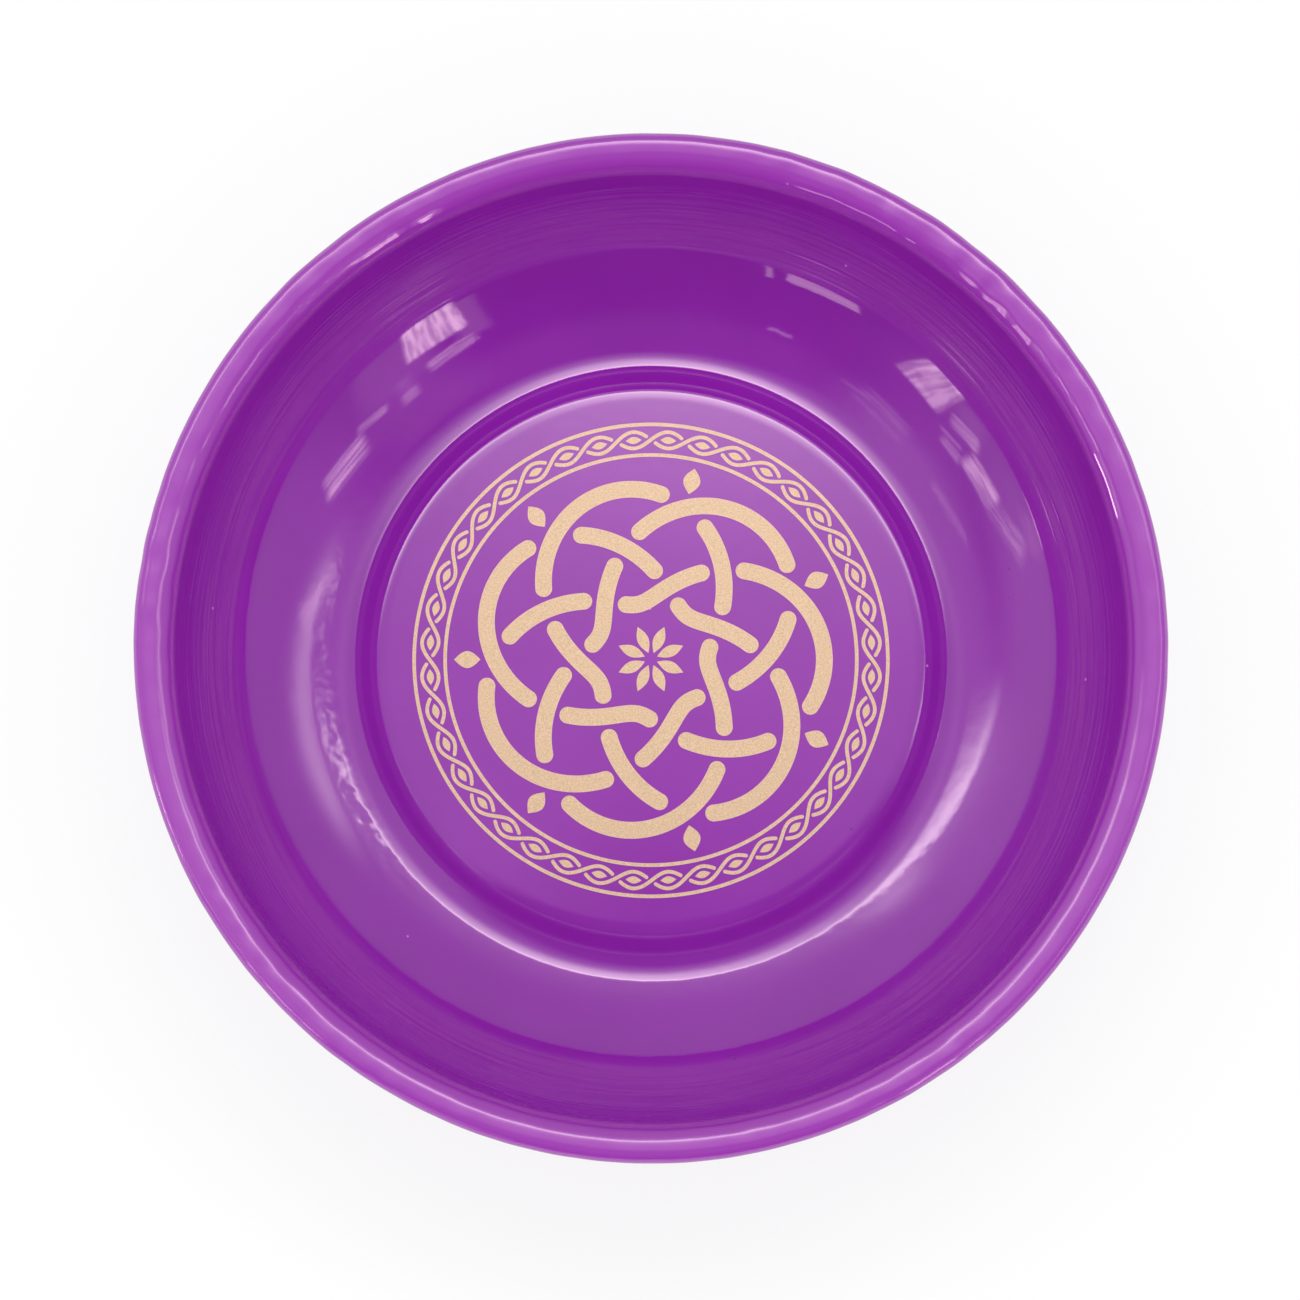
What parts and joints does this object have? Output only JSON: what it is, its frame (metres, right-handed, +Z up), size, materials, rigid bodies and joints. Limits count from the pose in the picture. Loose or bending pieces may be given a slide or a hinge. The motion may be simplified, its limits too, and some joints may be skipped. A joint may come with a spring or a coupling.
{
  "type": "magnetic pin bowl",
  "caption": "Shallow round steel pin bowl with a rolled rim and a raised centre disc, on a rubber-covered ring magnet that keeps pins in it.",
  "frame": {"origin": "on the table, at the centre of the underside of the rubber cover", "axes": "+Z up along the bowl's axis; +Y towards the top edge of the picture and +X towards its right edge"},
  "size_m": [0.108, 0.108, 0.0281],
  "materials": {
    "bowl_paint": "glossy purple enamel on drawn steel sheet, with a matt gold printed design on the centre disc",
    "adhesive": "cured adhesive, milky",
    "ferrite": "ground ferrite, dark grey and matt",
    "plated_steel": "zinc-plated stamped steel",
    "base_rubber": "moulded black rubber, satin"
  },
  "bodies": {
    "root": {"bowl": "bowl_paint", "bowl_adhesive": "adhesive", "ring_magnet": "ferrite", "backing_plate": "plated_steel", "cover_adhesive": "adhesive", "base_cover": "base_rubber"}
  },
  "joints": []
}
